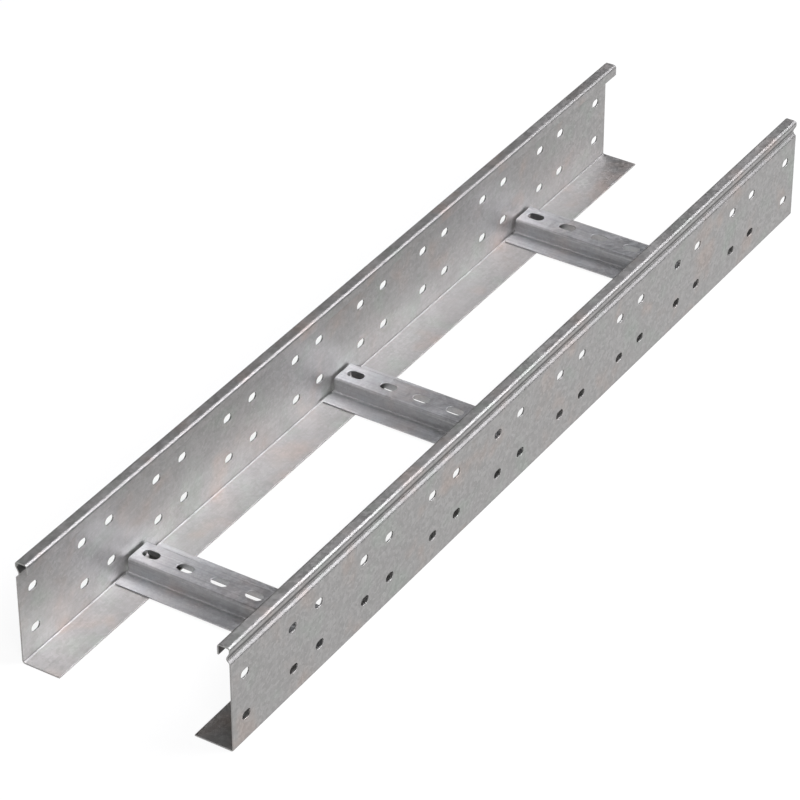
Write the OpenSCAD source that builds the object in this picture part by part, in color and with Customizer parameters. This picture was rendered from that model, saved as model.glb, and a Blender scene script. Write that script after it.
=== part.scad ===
// Straight section of steel cable ladder: two roll-formed side rails that face each other,
// with three hat-section rungs laid across their bottom flanges.
//
// The ladder lies flat: X runs along the rails, Y across them and Z is up.
// The origin is at the middle of the underside.

/* [Ladder] */
// Length of the section
ladder_l = 900; // [720:10:1200]
// Width over the outer faces of the side rails
ladder_w = 200; // [160:5:600]
// Distance from each end of the section to the middle of the rung nearest to it
rung_end_dist = 150; // [50:5:200]

/* [Side rail] */
// Height of a side rail
rail_h = 100; // [85:1:150]
// Thickness of the side rail's sheet
rail_t = 1.25; // [0.8:0.05:2]
// Width of the bottom flange that the rungs lie on
foot_w = 36; // [25:1:50]
// Width of the folded edge along the top
cap_w = 12; // [10:0.5:20]
// Height of the lip turned down from the folded edge
lip_h = 10; // [6:0.5:14]
// Inside radius of the side rail's bends
rail_bend_r = 1.5; // [0.8:0.1:2.5]

/* [Stiffening groove] */
// Depth of the groove pressed into the outer face
groove_depth = 2.75; // [1:0.25:4]
// Flat left between the groove and the top of the rail
groove_top_gap = 4; // [4:0.25:6]
// Height of the steep upper flank of the groove
groove_upper_h = 7.5; // [6:0.25:9]
// Height of the sloping lower flank of the groove
groove_lower_h = 4.5; // [3:0.25:7]

/* [Side rail slots] */
// Length of a slot, end to end, along the rail
slot_l = 11; // [8:0.5:16]
// Width of a slot
slot_w = 7.5; // [5:0.5:10]
// Height of the lower row of slots
slot_row_z = 25; // [22:1:32]
// Distance between the two rows of slots
slot_row_gap = 40; // [20:1:45]
// Distance between the two slots of a pair
slot_pair_gap = 36; // [20:1:60]
// Distance from one pair of slots to the next
slot_pair_pitch = 100; // [80:5:200]
// Least metal left between a slot and the end of the rail
slot_end_margin = 6; // [3:1:20]

/* [Rung] */
// Width of a rung over its two brims
rung_w = 64; // [50:1:90]
// Width of a rung's raised top
rung_top_w = 28; // [20:1:44]
// Height of a rung
rung_h = 15; // [10:0.5:17]
// Thickness of the rung's sheet
rung_t = 1.25; // [0.8:0.05:2]
// Inside radius of the rung's bends
rung_bend_r = 1.5; // [0.8:0.1:2.5]
// Gap between a rung's end and the rail's bottom bend
rung_end_gap = 0.75; // [0.25:0.25:3]

/* [Rung slots] */
// Length of a slot, end to end, along the rung
rung_slot_l = 16; // [12:0.5:25]
// Width of a slot
rung_slot_w = 9.5; // [6:0.5:12]
// Spacing of the slots along the rung
rung_slot_pitch = 33.3; // [28:0.1:40]
// Least metal left between a slot and the end of the rung
rung_slot_margin = 3; // [2:0.5:10]

/* [Hidden] */
$fn = 64;

// Where things stand
half_l = ladder_l / 2;
half_w = ladder_w / 2;
rung_l = ladder_w - 2 * (rail_t + rail_bend_r + rung_end_gap);
rung_z = rail_t;
rung_pitch = half_l - rung_end_dist;

// How far a cutter runs past each face that it passes through
cut_past = 1;

// Heights of the groove's three folds
groove_end_z = rail_h - groove_top_gap;
groove_deep_z = groove_end_z - groove_upper_h;
groove_start_z = groove_deep_z - groove_lower_h;

// Straight lengths of sheet in the groove, for each of its two flanks
flank_steps = 8;

// Room that a bend takes along each of the two straights beside it
rail_corner = rail_t + rail_bend_r;
rung_corner = rung_t + rung_bend_r;

// Share of the full depth along a flank, eased in and out like a pressed fold
function eased(share) = (1 - cos(180 * share)) / 2;

// Depth of the groove at a height
function groove_in(z) =
    groove_depth * (z < groove_deep_z
        ? eased((z - groove_start_z) / groove_lower_h)
        : eased((groove_end_z - z) / groove_upper_h));

// Heights at which the groove's outline has a point, from the bottom up
groove_zs = concat(
    [for (i = [0 : flank_steps]) groove_start_z + groove_lower_h * i / flank_steps],
    [for (i = [1 : flank_steps]) groove_deep_z + groove_upper_h * i / flank_steps]
);

// Places of the slots along a rail: pairs spread both ways from the middle of the ladder,
// without those that would run off the rail's end
slot_last_x = half_l - slot_l / 2 - slot_end_margin;
pairs_each_way = ceil(half_l / slot_pair_pitch);
rail_slot_xs = [
    for (k = [-pairs_each_way : pairs_each_way - 1], side = [-1, 1])
        let (x = (k + 0.5) * slot_pair_pitch + side * slot_pair_gap / 2)
        if (abs(x) <= slot_last_x) x
];

// Heights of the two rows of slots in a rail
rail_slot_zs = [slot_row_z, slot_row_z + slot_row_gap];

// Places of the slots along a rung, even about its middle
rung_slot_last_y = (rung_l - rung_slot_l) / 2 - rung_slot_margin;
rung_slots_each_way = ceil(rung_l / 2 / rung_slot_pitch);
rung_slot_ys = [
    for (k = [-rung_slots_each_way : rung_slots_each_way - 1])
        let (y = (k + 0.5) * rung_slot_pitch)
        if (abs(y) <= rung_slot_last_y) y
];

// Flat stretch of sheet between two opposite corners of its section
module flat(from, to) {
    translate(from) square(to - from);
}

// Quarter bend in sheet of thickness t. The two outer faces would meet at the point `at`,
// and `inward` gives the signs of the way from there to the centre of the bend.
module bend(at, inward, t, inside_r) {
    outside_r = inside_r + t;
    translate(at + inward * outside_r) intersection() {
        difference() {
            circle(outside_r);
            circle(inside_r);
        }
        translate([min(0, -inward[0]), min(0, -inward[1])] * outside_r) square(outside_r);
    }
}

// Section of a side rail: distance inward from its outer face, then height.
// The groove is pressed straight in, so its sheet is as thick across the rail as the web.
module rail_section() {
    flat([rail_corner, 0], [foot_w, rail_t]);
    bend([0, 0], [1, 1], rail_t, rail_bend_r);
    flat([0, rail_corner], [rail_t, groove_start_z]);
    polygon(concat(
        [for (z = groove_zs) [groove_in(z) + rail_t, z]],
        [for (i = [len(groove_zs) - 1 : -1 : 0]) [groove_in(groove_zs[i]), groove_zs[i]]]
    ));
    flat([0, groove_end_z], [rail_t, rail_h - rail_corner]);
    bend([0, rail_h], [1, -1], rail_t, rail_bend_r);
    flat([rail_corner, rail_h - rail_t], [cap_w - rail_corner, rail_h]);
    bend([cap_w, rail_h], [-1, -1], rail_t, rail_bend_r);
    flat([cap_w - rail_t, rail_h - lip_h], [cap_w, rail_h - rail_corner]);
}

// Section of a rung: distance along the ladder from the rung's middle, then height
module rung_section() {
    side_x = rung_top_w / 2;
    flat([rung_corner - side_x, rung_h - rung_t], [side_x - rung_corner, rung_h]);
    for (m = [0, 1]) mirror([m, 0]) {
        bend([side_x, rung_h], [-1, -1], rung_t, rung_bend_r);
        flat([side_x - rung_t, rung_corner], [side_x, rung_h - rung_corner]);
        bend([side_x - rung_t, 0], [1, 1], rung_t, rung_bend_r);
        flat([side_x + rung_bend_r, 0], [rung_w / 2, rung_t]);
    }
}

// Outline of a slot with round ends, its length along the first axis
module slot_outline(l, w) {
    straight = l - w;
    square([straight, w], center = true);
    for (end = [-1, 1]) translate([end * straight / 2, 0]) circle(d = w);
}

// Cutter for one slot through a rail's web, measured inward from the outer face
module rail_slot_cutter() {
    translate([0, rail_t + cut_past, 0]) rotate([90, 0, 0])
        linear_extrude(rail_t + 2 * cut_past) slot_outline(slot_l, slot_w);
}

// Side rail with its outer face at y = 0 and its flanges towards +y
module side_rail() {
    difference() {
        translate([-half_l, 0, 0]) rotate([90, 0, 90])
            linear_extrude(ladder_l) rail_section();
        for (x = rail_slot_xs, z = rail_slot_zs) translate([x, 0, z]) rail_slot_cutter();
    }
}

// Rung standing on z = 0, with its length along Y
module rung() {
    difference() {
        rotate([90, 0, 0]) linear_extrude(rung_l, center = true) rung_section();
        for (y = rung_slot_ys)
            translate([0, y, rung_h - rung_t - cut_past]) rotate([0, 0, 90])
                linear_extrude(rung_t + 2 * cut_past) slot_outline(rung_slot_l, rung_slot_w);
    }
}

// Left rail, on the +Y side, seen from the near end
module side_rail_left() {
    color("LightSlateGray") translate([0, half_w, 0]) mirror([0, 1, 0]) side_rail();
}

// Right rail, on the -Y side
module side_rail_right() {
    color("LightGray") translate([0, -half_w, 0]) side_rail();
}

// Rung nearest the -X end
module rung_near() {
    color("Silver") translate([-rung_pitch, 0, rung_z]) rung();
}

// Rung at the middle of the ladder
module rung_middle() {
    color("Silver") translate([0, 0, rung_z]) rung();
}

// Rung nearest the +X end
module rung_far() {
    color("Silver") translate([rung_pitch, 0, rung_z]) rung();
}

side_rail_left();
side_rail_right();
rung_near();
rung_middle();
rung_far();
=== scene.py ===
"""Looks of a straight steel cable ladder section: two slotted side rails and three rungs.

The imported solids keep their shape. This script gives every one its zinc-coated sheet, then
adds the floor, the light and the viewpoint. Lengths are in metres and +Z is up.
"""

import logging
import math
from dataclasses import dataclass, field
from enum import Enum

import bpy
from mathutils import Matrix, Vector

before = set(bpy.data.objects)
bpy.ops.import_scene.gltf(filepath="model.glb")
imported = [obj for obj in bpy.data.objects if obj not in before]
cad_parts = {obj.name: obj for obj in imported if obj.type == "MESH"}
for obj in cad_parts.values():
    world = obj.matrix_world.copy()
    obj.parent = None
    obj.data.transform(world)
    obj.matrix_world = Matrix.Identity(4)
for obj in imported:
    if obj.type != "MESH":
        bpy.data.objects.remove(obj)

LOG = logging.getLogger("cable_ladder")

Colour = tuple[float, float, float]
Point = tuple[float, float, float]
Source = bpy.types.NodeSocket | float | tuple[float, ...]

# Kinds of socket in a node group
NUMBER = "NodeSocketFloat"
VECTOR = "NodeSocketVector"


class Direction(Enum):
    """The way that a sheet was rolled, as the axis along which its marks run."""

    ALONG_LADDER = (1.0, 0.0, 0.0)
    ACROSS_LADDER = (0.0, 1.0, 0.0)


@dataclass(frozen=True)
class ZincFinish:
    """Zinc-coated sheet steel of one kind.

    Attributes:
        name: The material's name.
        rolled: The way that the rolling marks run.
        metal: Colour of clean zinc.
        warm: Colour of the warmer clouds.
        cool: Colour of the cooler clouds.
        dull: Colour of the oxide film in dull places.
        cloud_size: Size of the clouds.
        spangle_size: Size of a zinc crystal.
        spangle_tilt: How far the crystals lean from the sheet, as a slope.
        streaks: Strength of the rolling marks, from 0 to 1.
        film: Share of the surface that the oxide film dulls, from 0 to 1.
        roughness: Roughness of clean zinc.
        painted_bend_shade: Share by which the colour of the sloped faces is darkened, a painted shade that
            dims their highlights.
    """

    name: str
    rolled: Direction
    metal: Colour
    warm: Colour
    cool: Colour
    dull: Colour
    cloud_size: float
    spangle_size: float
    spangle_tilt: float
    streaks: float
    film: float
    roughness: float
    painted_bend_shade: float


RAIL_ZINC = ZincFinish(
    name="rail_zinc",
    rolled=Direction.ALONG_LADDER,
    metal=(0.297, 0.292, 0.286),
    warm=(0.326, 0.290, 0.270),
    cool=(0.288, 0.302, 0.283),
    dull=(0.252, 0.247, 0.241),
    cloud_size=0.045,
    spangle_size=0.0028,
    spangle_tilt=0.05,
    streaks=0.25,
    film=0.35,
    roughness=0.44,
    # painted shade on the sloped faces of the rails, to dim their highlights
    painted_bend_shade=0.55,
)

RUNG_ZINC = ZincFinish(
    name="rung_zinc",
    rolled=Direction.ACROSS_LADDER,
    metal=(0.37, 0.37, 0.375),
    warm=(0.385, 0.365, 0.36),
    cool=(0.36, 0.37, 0.38),
    dull=(0.31, 0.31, 0.315),
    cloud_size=0.03,
    spangle_size=0.0022,
    spangle_tilt=0.05,
    streaks=0.7,
    film=0.4,
    roughness=0.43,
    # painted shade on the sloped faces of the rungs, to dim their highlights
    painted_bend_shade=0.25,
)


class Wiring:
    """Adds nodes to one node tree and links them, each a column to the right of the last."""

    COLUMN = 180.0

    def __init__(self, tree: bpy.types.NodeTree) -> None:
        """Starts at the first column of the tree of a group, a material or a world."""
        self.tree = tree
        self.columns = 0

    def add(self, kind: str, inputs: dict[str | int, Source] | None = None,
            **settings: object) -> bpy.types.Node:
        """Adds one node.

        Args:
            kind: The node's type name.
            inputs: What each input gets: another node's output, or a value.
            **settings: The node's properties.

        Returns:
            The new node.
        """
        node = self.tree.nodes.new(kind)
        node.location = (self.COLUMN * self.columns, 0.0)
        self.columns += 1
        for name, value in settings.items():
            setattr(node, name, value)
        for name, source in (inputs or {}).items():
            self.feed(node.inputs[name], source)
        return node

    def feed(self, socket: bpy.types.NodeSocket, source: Source) -> None:
        """Links or sets one input.

        Args:
            socket: The input.
            source: Another node's output, or a value.
        """
        if isinstance(source, bpy.types.NodeSocket):
            self.tree.links.new(source, socket)
        else:
            socket.default_value = source

    def calc(self, operation: str, *terms: Source, clamp: bool = False) -> bpy.types.NodeSocket:
        """Adds a Math node with its inputs in order, and returns its result."""
        inputs = dict(enumerate(terms))
        return self.add("ShaderNodeMath", inputs, operation=operation, use_clamp=clamp).outputs[0]

    def vector(self, operation: str, *terms: Source, scale: Source | None = None) -> bpy.types.Node:
        """Adds a Vector Math node.

        Args:
            operation: The node's operation.
            *terms: Its vector inputs in order.
            scale: The factor of a SCALE operation.

        Returns:
            The node, because some operations give a number and some a vector.
        """
        node = self.add("ShaderNodeVectorMath", dict(enumerate(terms)), operation=operation)
        if scale is not None:
            self.feed(node.inputs["Scale"], scale)
        return node

    def spread(self, value: Source, low: float, high: float) -> bpy.types.NodeSocket:
        """Maps the values from low to high smoothly onto 0 to 1."""
        inputs = {"Value": value, "From Min": low, "From Max": high}
        return self.add("ShaderNodeMapRange", inputs, interpolation_type="SMOOTHSTEP").outputs["Result"]

    def blend(self, share: Source, first: Source, second: Source, how: str = "MIX") -> bpy.types.NodeSocket:
        """Mixes two colours.

        Args:
            share: How much of the second one is taken, from 0 to 1.
            first: A colour.
            second: A colour.
            how: The blend type.

        Returns:
            The mixed colour.
        """
        node = self.add("ShaderNodeMix", data_type="RGBA", blend_type=how, clamp_result=False)
        self.feed(node.inputs["Factor"], share)
        colour_inputs = [s for s in node.inputs if s.type == "RGBA"]
        for socket, colour in zip(colour_inputs, (first, second)):
            self.feed(socket, colour if isinstance(colour, bpy.types.NodeSocket) else (*colour, 1.0))
        return next(s for s in node.outputs if s.type == "RGBA")

    def noise(self, place: Source, scale: Source, detail: float = 2.0,
              roughness: float = 0.5) -> bpy.types.Node:
        """Adds a Noise Texture node, with its scale in waves a metre."""
        inputs = {"Vector": place, "Scale": scale, "Detail": detail, "Roughness": roughness}
        return self.add("ShaderNodeTexNoise", inputs)


class Effect:
    """A shader node group that several materials share."""

    def __init__(self, name: str, inputs: dict[str, str], outputs: dict[str, str]) -> None:
        """Makes an empty group with its sockets.

        Args:
            name: The group's name.
            inputs: Socket type for each input's name.
            outputs: Socket type for each output's name.
        """
        self.tree = bpy.data.node_groups.new(name, "ShaderNodeTree")
        for label, kind in inputs.items():
            self.tree.interface.new_socket(name=label, in_out="INPUT", socket_type=kind)
        for label, kind in outputs.items():
            self.tree.interface.new_socket(name=label, in_out="OUTPUT", socket_type=kind)
        self.wiring = Wiring(self.tree)
        self.given = self.wiring.add("NodeGroupInput").outputs

    def give(self, results: dict[str, bpy.types.NodeSocket]) -> None:
        """Links the group's outputs by their names."""
        self.wiring.add("NodeGroupOutput", results)

    def place(self, wiring: Wiring, inputs: dict[str, Source]) -> bpy.types.Node:
        """Puts the group into a material.

        Args:
            wiring: The material's wiring.
            inputs: What each of the group's inputs gets there.

        Returns:
            The group's node.
        """
        node = wiring.add("ShaderNodeGroup", node_tree=self.tree)
        for label, source in inputs.items():
            wiring.feed(node.inputs[label], source)
        return node


def spangle_effect() -> Effect:
    """Makes the zinc crystals: a shade for each one, its lean and the lines between them.

    Returns:
        The group, with outputs Shade, Line and Lean.
    """
    wander = 0.35
    line_width = 0.08
    middle = (0.5, 0.5, 0.5)
    effect = Effect(
        "zinc_spangle",
        {"Place": VECTOR, "Size": NUMBER, "Tilt": NUMBER},
        {"Shade": NUMBER, "Line": NUMBER, "Lean": VECTOR},
    )
    w, given = effect.wiring, effect.given
    scale = w.calc("DIVIDE", 1.0, given["Size"])
    drift = w.vector("SUBTRACT", w.noise(given["Place"], scale, detail=1.0).outputs["Color"], middle)
    drift = w.vector("SCALE", drift.outputs["Vector"], scale=w.calc("MULTIPLY", given["Size"], wander))
    place = w.vector("ADD", given["Place"], drift.outputs["Vector"]).outputs["Vector"]
    crystal = w.add("ShaderNodeTexVoronoi", {"Vector": place, "Scale": scale})
    border = w.add("ShaderNodeTexVoronoi", {"Vector": place, "Scale": scale}, feature="DISTANCE_TO_EDGE")
    chance = crystal.outputs["Color"]
    lean = w.vector("SUBTRACT", chance, middle).outputs["Vector"]
    lean = w.vector("SCALE", lean, scale=given["Tilt"]).outputs["Vector"]
    effect.give({
        "Shade": w.add("ShaderNodeSeparateXYZ", {"Vector": chance}).outputs["X"],
        "Line": w.calc("SUBTRACT", 1.0, w.spread(border.outputs["Distance"], 0.0, line_width)),
        "Lean": lean,
    })
    return effect


def cloud_effect() -> Effect:
    """Makes the large soft clouds of the coating.

    Returns:
        The group, with outputs Warm, Cool and Dull, each a mask.
    """
    warm_range = (0.52, 0.72)
    cool_range = (0.28, 0.48)
    dull_range = (0.40, 0.70)
    film_shift = (3.1, 1.7, 0.9)
    film_finer = 1.6
    effect = Effect(
        "coating_clouds",
        {"Place": VECTOR, "Size": NUMBER},
        {"Warm": NUMBER, "Cool": NUMBER, "Dull": NUMBER},
    )
    w, given = effect.wiring, effect.given
    scale = w.calc("DIVIDE", 1.0, given["Size"])
    away = w.vector("ADD", given["Place"], film_shift).outputs["Vector"]
    tint = w.noise(given["Place"], scale, detail=2.0, roughness=0.55).outputs["Fac"]
    film = w.noise(away, w.calc("MULTIPLY", scale, film_finer), detail=4.0, roughness=0.62).outputs["Fac"]
    effect.give({
        "Warm": w.spread(tint, *warm_range),
        "Cool": w.calc("SUBTRACT", 1.0, w.spread(tint, *cool_range)),
        "Dull": w.spread(film, *dull_range),
    })
    return effect


def rolling_effect() -> Effect:
    """Makes the fine marks that the mill's rollers leave along the sheet.

    Returns:
        The group, with output Streak, a mask.
    """
    mark_length = 0.12
    mark_width = 0.0016
    streak_range = (0.35, 0.70)
    effect = Effect("rolling_marks", {"Place": VECTOR, "Direction": VECTOR}, {"Streak": NUMBER})
    w, given = effect.wiring, effect.given
    along = w.vector("MULTIPLY", given["Place"], given["Direction"]).outputs["Vector"]
    across = w.vector("SUBTRACT", given["Place"], along).outputs["Vector"]
    drawn = w.vector(
        "ADD",
        w.vector("SCALE", along, scale=1.0 / mark_length).outputs["Vector"],
        w.vector("SCALE", across, scale=1.0 / mark_width).outputs["Vector"],
    )
    streak = w.noise(drawn.outputs["Vector"], 1.0, detail=3.0, roughness=0.6).outputs["Fac"]
    effect.give({"Streak": w.spread(streak, *streak_range)})
    return effect


def edge_effect() -> Effect:
    """Marks the sloped faces, where the sheet neither lies level nor stands upright, so that their
    highlights can be dimmed with painted shade, and rounds the edges.

    Returns:
        The group, with outputs Bend, the mask of the sloped faces that get painted shade, and Rounded, a
        normal.
    """
    leaning_range = (0.10, 0.35)
    level_range = (0.88, 0.98)
    effect = Effect("sheet_edges", {"Radius": NUMBER}, {"BendShade": NUMBER, "Rounded": VECTOR})
    w, given = effect.wiring, effect.given
    rounded = w.add("ShaderNodeBevel", {"Radius": given["Radius"]}, samples=6).outputs["Normal"]
    facing = w.add("ShaderNodeNewGeometry").outputs["True Normal"]
    upward = w.calc("ABSOLUTE", w.add("ShaderNodeSeparateXYZ", {"Vector": facing}).outputs["Z"])
    # Faces between upright and level get painted shade; the mask goes only by which way a face points.
    leaning = w.spread(upward, *leaning_range)
    not_level = w.calc("SUBTRACT", 1.0, w.spread(upward, *level_range))
    effect.give({"BendShade": w.calc("MULTIPLY", leaning, not_level), "Rounded": rounded})
    return effect


@dataclass
class EffectKit:
    """The effects that the zinc materials share."""

    spangle: Effect = field(default_factory=spangle_effect)
    clouds: Effect = field(default_factory=cloud_effect)
    rolling: Effect = field(default_factory=rolling_effect)
    edges: Effect = field(default_factory=edge_effect)


@dataclass
class ZincCoat:
    """Builds the material of one zinc finish.

    Attributes:
        finish: The finish.
        kit: The effects shared by all finishes.
        edge_radius: Radius to which the sheet's cut edges look rounded.
        grain_size: Size of the fine texture of the zinc.
        relief: Height of that texture.
        relief_strength: How strongly it shows, from 0 to 1.
        crystal_contrast: Difference between the palest and the darkest crystal.
        line_depth: How much darker the lines between crystals are.
        mark_depth: How much darker a full rolling mark is.
        mark_lift: How much paler the sheet between the marks is.
        film_roughness: Roughness that the oxide film adds.
        crystal_roughness: Difference in roughness between crystals.
    """

    finish: ZincFinish
    kit: EffectKit
    edge_radius: float = 0.0005
    grain_size: float = 0.0008
    relief: float = 0.00003
    relief_strength: float = 0.5
    crystal_contrast: float = 0.16
    line_depth: float = 0.06
    mark_depth: float = 0.22
    mark_lift: float = 0.10
    film_roughness: float = 0.08
    crystal_roughness: float = 0.06

    def colour(self, w: Wiring, clouds: bpy.types.Node, spangle: bpy.types.Node,
               streak: Source, bend_shade_mask: Source) -> bpy.types.NodeSocket:
        """Mixes the colour of the zinc.

        Args:
            w: The material's wiring.
            clouds: The placed cloud effect.
            spangle: The placed spangle effect.
            streak: The mask of the rolling marks.
            bend_shade_mask: The mask of the sloped faces, whose colour is darkened as painted shade.

        Returns:
            The colour.
        """
        finish = self.finish
        colour = w.blend(clouds.outputs["Warm"], finish.metal, finish.warm)
        colour = w.blend(clouds.outputs["Cool"], colour, finish.cool)
        film = w.calc("MULTIPLY", clouds.outputs["Dull"], finish.film)
        colour = w.blend(film, colour, finish.dull)
        contrast = self.crystal_contrast
        tone = w.calc("MULTIPLY_ADD", spangle.outputs["Shade"], contrast, 1.0 - contrast / 2)
        between_marks = 1.0 + self.mark_lift * finish.streaks
        for mask, deepest, base in (
            (streak, self.mark_depth * finish.streaks, between_marks),
            (spangle.outputs["Line"], self.line_depth, 1.0),
            # The sloped faces are darkened here: painted shade that dims their highlights.
            (bend_shade_mask, finish.painted_bend_shade, 1.0),
        ):
            tone = w.calc("MULTIPLY", tone, w.calc("MULTIPLY_ADD", mask, -deepest, base))
        grey = w.add("ShaderNodeCombineXYZ", {"X": tone, "Y": tone, "Z": tone}).outputs["Vector"]
        return w.blend(1.0, colour, grey, how="MULTIPLY")

    def roughness(self, w: Wiring, clouds: bpy.types.Node, spangle: bpy.types.Node) -> bpy.types.NodeSocket:
        """Works out the roughness: more in dull places, and a little different in each crystal."""
        base = w.calc("MULTIPLY_ADD", clouds.outputs["Dull"], self.film_roughness, self.finish.roughness)
        return w.calc("MULTIPLY_ADD", spangle.outputs["Shade"], self.crystal_roughness, base)

    def normal(self, w: Wiring, place: Source, spangle: bpy.types.Node, streak: Source,
               rounded: Source) -> bpy.types.NodeSocket:
        """Works out the normal: rounded edges, leaning crystals and a fine relief.

        Args:
            w: The material's wiring.
            place: The coordinates.
            spangle: The placed spangle effect.
            streak: The mask of the rolling marks.
            rounded: The normal with rounded edges.

        Returns:
            The normal.
        """
        leaning = w.vector("ADD", rounded, spangle.outputs["Lean"]).outputs["Vector"]
        leaning = w.vector("NORMALIZE", leaning).outputs["Vector"]
        grain = w.noise(place, 1.0 / self.grain_size, detail=2.0).outputs["Fac"]
        height = w.calc("MULTIPLY_ADD", streak, self.finish.streaks, grain)
        bump = w.add("ShaderNodeBump", {
            "Strength": self.relief_strength,
            "Distance": self.relief,
            "Height": height,
            "Normal": leaning,
        })
        return bump.outputs["Normal"]

    def build(self) -> bpy.types.Material:
        """Builds the material.

        Returns:
            The material.
        """
        finish = self.finish
        material = bpy.data.materials.new(finish.name)
        material.use_nodes = True
        material.node_tree.nodes.clear()
        w = Wiring(material.node_tree)
        place = w.add("ShaderNodeTexCoord").outputs["Object"]
        clouds = self.kit.clouds.place(w, {"Place": place, "Size": finish.cloud_size})
        spangle = self.kit.spangle.place(
            w, {"Place": place, "Size": finish.spangle_size, "Tilt": finish.spangle_tilt}
        )
        rolling = self.kit.rolling.place(w, {"Place": place, "Direction": finish.rolled.value})
        streak = rolling.outputs["Streak"]
        edges = self.kit.edges.place(w, {"Radius": self.edge_radius})
        shader = w.add("ShaderNodeBsdfPrincipled", {
            "Metallic": 1.0,
            "Base Color": self.colour(w, clouds, spangle, streak, edges.outputs["BendShade"]),
            "Roughness": self.roughness(w, clouds, spangle),
            "Normal": self.normal(w, place, spangle, streak, edges.outputs["Rounded"]),
        })
        w.add("ShaderNodeOutputMaterial", {"Surface": shader.outputs["BSDF"]})
        return material


@dataclass
class SheetAssembly:
    """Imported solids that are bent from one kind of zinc-coated sheet.

    Attributes:
        nodes: The solids' names.
        finish: The finish of their sheet.
    """

    nodes: tuple[str, ...]
    finish: ZincFinish

    def dress(self, kit: EffectKit) -> list[bpy.types.Object]:
        """Gives the solids their sheet.

        Args:
            kit: The effects shared by all finishes.

        Returns:
            The solids' objects.
        """
        material = ZincCoat(self.finish, kit).build()
        pieces = [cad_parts[name] for name in self.nodes]
        for piece in pieces:
            piece.data.materials.clear()
            piece.data.materials.append(material)
        return pieces


@dataclass
class SideRails(SheetAssembly):
    """The two roll-formed side rails, left and right."""

    nodes: tuple[str, ...] = ("side_rail_left", "side_rail_right")
    finish: ZincFinish = RAIL_ZINC


@dataclass
class Rungs(SheetAssembly):
    """The three hat-section rungs, from the near end to the far end."""

    nodes: tuple[str, ...] = ("rung_near", "rung_middle", "rung_far")
    finish: ZincFinish = RUNG_ZINC


@dataclass(frozen=True)
class Softbox:
    """One square softbox, turned to the ladder.

    Attributes:
        name: The lamp's name.
        azimuth: Direction to it about +Z, in degrees from +X.
        elevation: Direction to it above the floor, in degrees.
        side: Its side.
        glow: Its brightness, where 1 is the white of the picture.
        colour: Its colour.
    """

    name: str
    azimuth: float
    elevation: float
    side: float
    glow: float
    colour: Colour


SOFTBOXES = (
    Softbox("key_box", azimuth=-51.0, elevation=47.0, side=2.2, glow=19.5, colour=(0.99, 0.985, 1.035)),
    Softbox("fill_box", azimuth=213.0, elevation=35.0, side=2.0, glow=13.5, colour=(1.0, 0.99, 1.02)),
    Softbox("top_box", azimuth=0.0, elevation=90.0, side=2.0, glow=1.2, colour=(1.0, 1.0, 1.0)),
)


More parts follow.
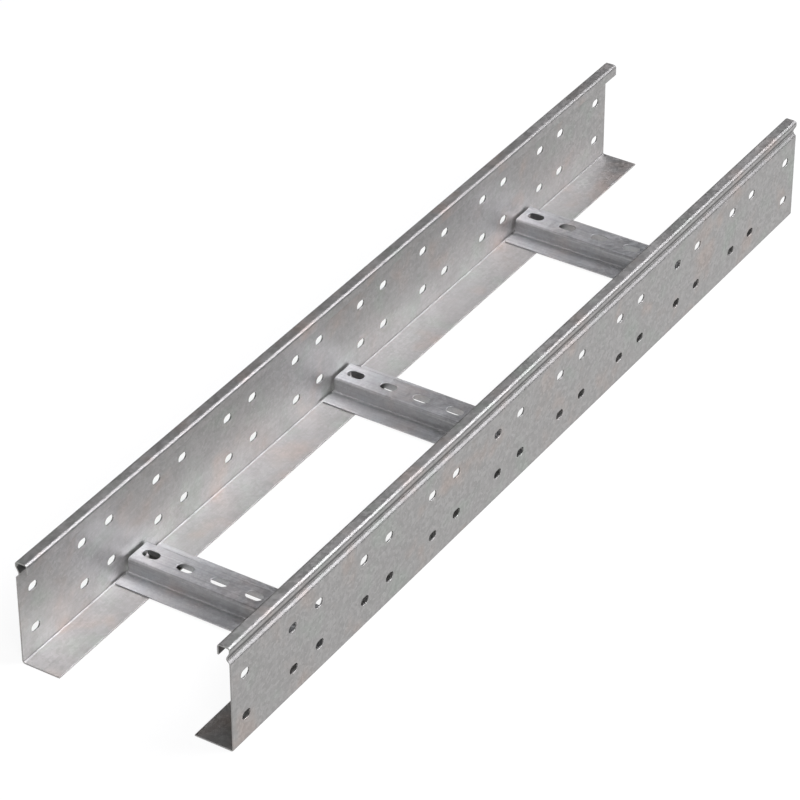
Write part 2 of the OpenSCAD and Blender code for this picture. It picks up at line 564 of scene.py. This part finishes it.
@dataclass
class Studio:
    """A pale floor, a sky that is bright near the horizon, and softboxes.

    Attributes:
        floor_half: Half the side of the floor.
        floor_colour: Colour of the floor.
        floor_glow: Share of plain white in what the camera and the metal see of the floor.
        horizon: Brightness of the sky at the horizon.
        overhead: Brightness of the sky overhead.
        sky_low: Height on the unit sphere at which the sky starts to darken.
        sky_high: Height on the unit sphere at which it has darkened.
        box_far: Distance of the softboxes.
    """

    floor_half: float = 40.0
    floor_colour: Colour = (0.5, 0.5, 0.5)
    floor_glow: float = 0.90
    horizon: float = 0.9
    overhead: float = 0.03
    sky_low: float = 0.10
    sky_high: float = 0.45
    box_far: float = 3.2

    def seen(self, w: Wiring) -> bpy.types.NodeSocket:
        """Tells the rays of the camera, of gloss and of glass from those that only light things.

        Args:
            w: The material's wiring.

        Returns:
            1 for a ray that shows the floor, else 0.
        """
        ray = w.add("ShaderNodeLightPath").outputs
        seen = w.calc("ADD", ray["Is Camera Ray"], ray["Is Glossy Ray"])
        return w.calc("ADD", seen, ray["Is Transmission Ray"], clamp=True)

    def floor(self) -> bpy.types.Object:
        """Lays the floor.

        Returns:
            The floor.
        """
        half = self.floor_half
        mesh = bpy.data.meshes.new("floor")
        corners = [(-half, -half, 0), (half, -half, 0), (half, half, 0), (-half, half, 0)]
        mesh.from_pydata(corners, [], [(0, 1, 2, 3)])
        material = bpy.data.materials.new("pale_floor")
        material.use_nodes = True
        material.node_tree.nodes.clear()
        w = Wiring(material.node_tree)
        paint = w.add("ShaderNodeBsdfDiffuse", {"Color": (*self.floor_colour, 1.0)})
        glow = w.add("ShaderNodeEmission", {"Strength": 1.0})
        share = w.calc("MULTIPLY", self.seen(w), self.floor_glow)
        both = w.add("ShaderNodeMixShader", {0: share, 1: paint.outputs[0], 2: glow.outputs[0]})
        w.add("ShaderNodeOutputMaterial", {"Surface": both.outputs[0]})
        mesh.materials.append(material)
        floor = bpy.data.objects.new("floor", mesh)
        bpy.context.scene.collection.objects.link(floor)
        return floor

    def sky(self) -> bpy.types.World:
        """Makes the sky, bright at the horizon and nearly dark overhead.

        Returns:
            The world.
        """
        world = bpy.data.worlds.new("soft_sky")
        world.use_nodes = True
        world.node_tree.nodes.clear()
        w = Wiring(world.node_tree)
        way = w.add("ShaderNodeTexCoord").outputs["Generated"]
        height = w.add("ShaderNodeSeparateXYZ", {"Vector": way}).outputs["Z"]
        dark = w.spread(height, self.sky_low, self.sky_high)
        strength = w.calc("MULTIPLY_ADD", dark, self.overhead - self.horizon, self.horizon)
        light = w.add("ShaderNodeBackground", {"Color": (1.0, 1.0, 1.0, 1.0), "Strength": strength})
        w.add("ShaderNodeOutputWorld", {"Surface": light.outputs[0]})
        bpy.context.scene.world = world
        return world

    def hang(self, box: Softbox) -> bpy.types.Object:
        """Hangs one softbox.

        Args:
            box: The softbox.

        Returns:
            The lamp.
        """
        turn, lift = math.radians(box.azimuth), math.radians(box.elevation)
        way = Vector((math.cos(lift) * math.cos(turn), math.cos(lift) * math.sin(turn), math.sin(lift)))
        lamp = bpy.data.lights.new(box.name, "AREA")
        lamp.shape = "SQUARE"
        lamp.size = box.side
        lamp.color = box.colour
        lamp.energy = box.glow * math.pi * box.side**2
        lit = bpy.data.objects.new(box.name, lamp)
        lit.location = way * self.box_far
        lit.rotation_mode = "QUATERNION"
        lit.rotation_quaternion = way.to_track_quat("Z", "Y")
        lit.visible_camera = False
        bpy.context.scene.collection.objects.link(lit)
        return lit


@dataclass
class Viewpoint:
    """Where the ladder is seen from.

    Attributes:
        target: The point that the camera looks at.
        azimuth: Direction from which it looks, in degrees. 0 looks along +Y.
        elevation: Height above the horizon, in degrees.
        roll: Turn about the line of sight, in degrees.
        distance: Distance from the target.
        lens: Focal length in millimetres.
        sensor: Width of the sensor in millimetres.
    """

    target: Point = (-0.0519, 0.0052, 0.05)
    azimuth: float = -57.32
    elevation: float = 35.02
    roll: float = -0.19
    distance: float = 3.160
    lens: float = 170.8
    sensor: float = 36.0

    def place(self) -> bpy.types.Object:
        """Places the camera and makes it the scene's own.

        Returns:
            The camera.
        """
        turn, lift = math.radians(self.azimuth), math.radians(self.elevation)
        back = Vector((math.sin(turn) * math.cos(lift), -math.cos(turn) * math.cos(lift), math.sin(lift)))
        lens = bpy.data.cameras.new("viewpoint")
        lens.sensor_width = self.sensor
        lens.lens = self.lens
        lens.clip_start = 0.05
        lens.clip_end = 200.0
        camera = bpy.data.objects.new("viewpoint", lens)
        camera.rotation_mode = "QUATERNION"
        roll = Matrix.Rotation(math.radians(self.roll), 3, "Z").to_quaternion()
        camera.rotation_quaternion = back.to_track_quat("Z", "Y") @ roll
        camera.location = Vector(self.target) + back * self.distance
        bpy.context.scene.collection.objects.link(camera)
        bpy.context.scene.camera = camera
        return camera


def main() -> None:
    """Dresses the ladder, then lights it and places the camera."""
    logging.basicConfig(level=logging.INFO)
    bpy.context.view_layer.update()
    bpy.context.scene.view_settings.view_transform = "Standard"
    kit = EffectKit()
    for assembly in (SideRails(), Rungs()):
        for piece in assembly.dress(kit):
            LOG.info("dressed %s in %s", piece.name, assembly.finish.name)
    studio = Studio()
    lamps = [studio.hang(box) for box in SOFTBOXES]
    for made in (studio.floor(), studio.sky(), *lamps, Viewpoint().place()):
        LOG.info("made %s", made.name)


if __name__ == "__main__":
    main()
